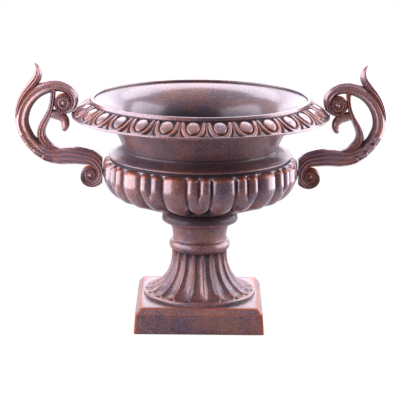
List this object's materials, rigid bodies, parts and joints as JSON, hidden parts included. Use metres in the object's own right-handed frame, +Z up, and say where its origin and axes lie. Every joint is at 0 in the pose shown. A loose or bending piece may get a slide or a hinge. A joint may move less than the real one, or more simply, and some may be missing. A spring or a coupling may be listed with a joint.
{
  "type": "cast iron flower pot",
  "caption": "Footed cast iron urn planter with a gadrooned belly, a flared egg-and-dart rim, a fluted stem on a square plinth and two scroll handles.",
  "frame": {"origin": "middle of the plinth's underside", "axes": "+Z up through the stem and bowl, +X towards the right handle, -Y towards the front"},
  "size_m": [0.375, 0.26, 0.2616],
  "materials": {
    "bowl_iron": "satin sand-cast, patinated brown with rubbed copper edges",
    "pedestal_iron": "satin sand-cast, patinated brown with rubbed copper edges",
    "handle_iron": "satin sand-cast, patinated brown with rubbed copper edges",
    "steel": "zinc plated, dull"
  },
  "bodies": {
    "root": {"bowl": "bowl_iron", "pedestal": "pedestal_iron", "left_handle": "handle_iron", "right_handle": "handle_iron", "left_handle_bolt": "steel", "right_handle_bolt": "steel", "left_handle_washer": "steel", "right_handle_washer": "steel", "tie_bolt": "steel", "tie_bolt_washer": "steel", "tie_nut_washer": "steel", "tie_nut": "steel"}
  },
  "joints": []
}
